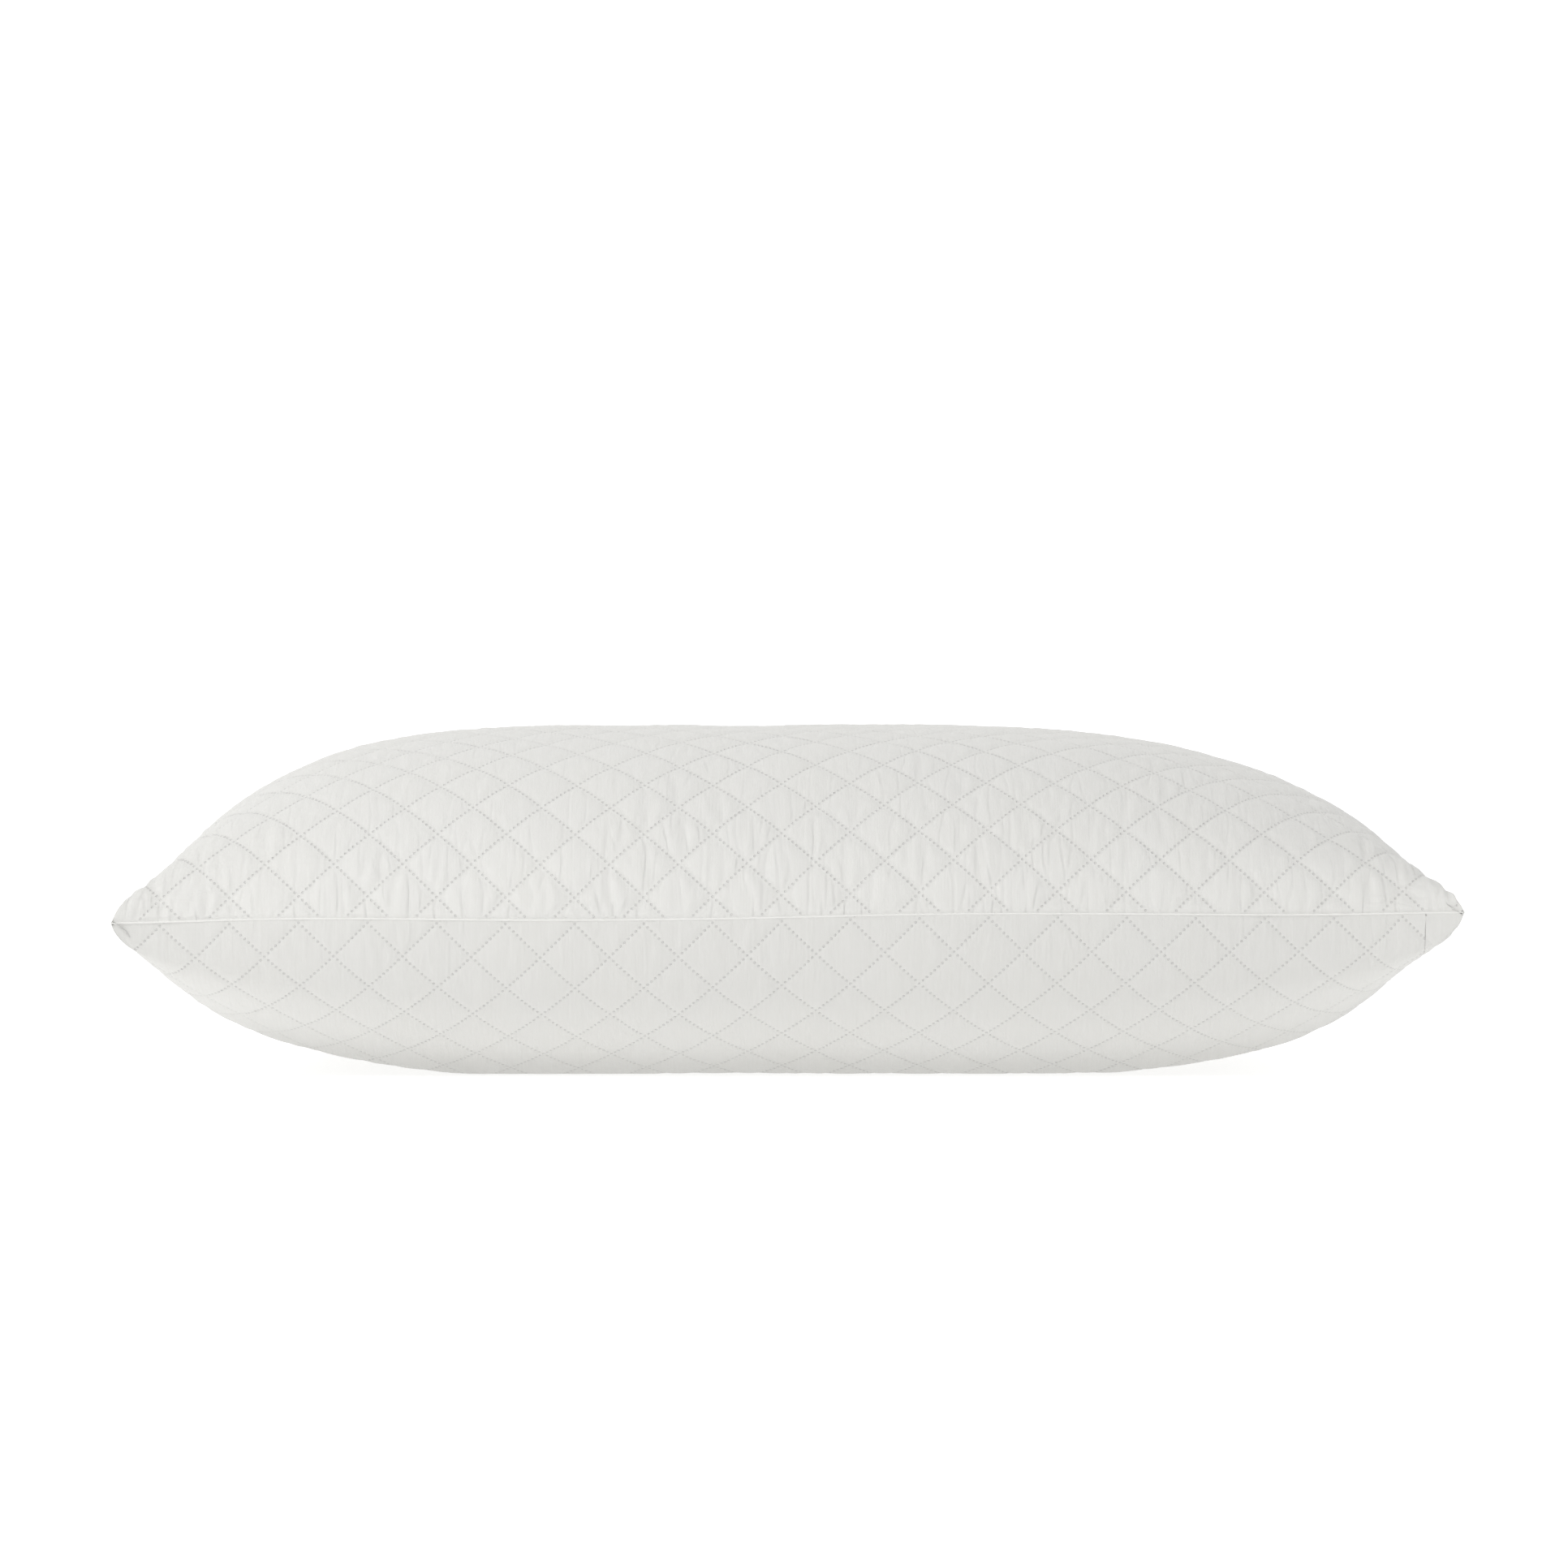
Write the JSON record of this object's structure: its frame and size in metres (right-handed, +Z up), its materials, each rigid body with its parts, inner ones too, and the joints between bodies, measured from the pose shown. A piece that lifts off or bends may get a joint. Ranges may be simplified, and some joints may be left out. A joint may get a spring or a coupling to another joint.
{
  "type": "bed pillow",
  "caption": "Quilted bed pillow: a soft crowned cushion with eared corners, a zipped quilted cover and a filled inner casing.",
  "frame": {"origin": "centre of the bounding box in plan, on the surface that the pillow rests on", "axes": "+X along the long side towards the zipped end, +Y across the pillow away from the viewer's long side, +Z up"},
  "size_m": [0.6398, 0.4558, 0.17],
  "materials": {
    "face_cloth": "plain woven polyester, white, matt",
    "wadding_fibre": "loose white polyester wadding",
    "non_woven_backing": "thin white non-woven",
    "inner_casing_cloth": "plain white woven",
    "fill_fibre": "lofted white fibre",
    "sewing_thread": "white spun thread",
    "zip_tape": "white woven tape",
    "zip_nylon": "white nylon, satin",
    "zip_metal": "nickel plated, satin",
    "label_satin": "blank white satin"
  },
  "bodies": {
    "cover": {"cover_top_face": "face_cloth", "cover_base_face": "face_cloth", "end_strip_face": "face_cloth", "seam_allowance": "face_cloth", "cover_top_wadding": "wadding_fibre", "cover_base_wadding": "wadding_fibre", "end_strip_wadding": "wadding_fibre", "cover_top_backing": "non_woven_backing", "cover_base_backing": "non_woven_backing", "end_strip_backing": "non_woven_backing", "seam_lockstitch": "sewing_thread", "seam_overlock": "sewing_thread", "zip_stitch_base_side": "sewing_thread", "zip_stitch_strip_side": "sewing_thread", "inner_case_seam": "sewing_thread", "zip_tape_base_side": "zip_tape", "zip_tape_strip_side": "zip_tape", "zip_coil_base_side": "zip_nylon", "zip_coil_strip_side": "zip_nylon", "zip_end_stop": "zip_metal", "zip_top_stop_base_side": "zip_metal", "zip_top_stop_strip_side": "zip_metal", "inner_case_top": "inner_casing_cloth", "inner_case_base": "inner_casing_cloth", "fill_core": "fill_fibre", "care_label": "label_satin"},
    "slider": {"zip_slider_body": "zip_metal"},
    "pull_tab": {"zip_pull_tab": "zip_metal"}
  },
  "joints": [
    {"name": "zip_slide", "type": "slide", "parent": "cover", "child": "slider", "axis": [0, -1, 0], "range_m": [0, 0.323]},
    {"name": "pull_tab_hinge", "type": "hinge", "parent": "slider", "child": "pull_tab", "pos_m": [0.29936, 0.1672, 0.06363], "axis": [0.5112, 0, 0.8594], "range_deg": [0, 150]}
  ]
}
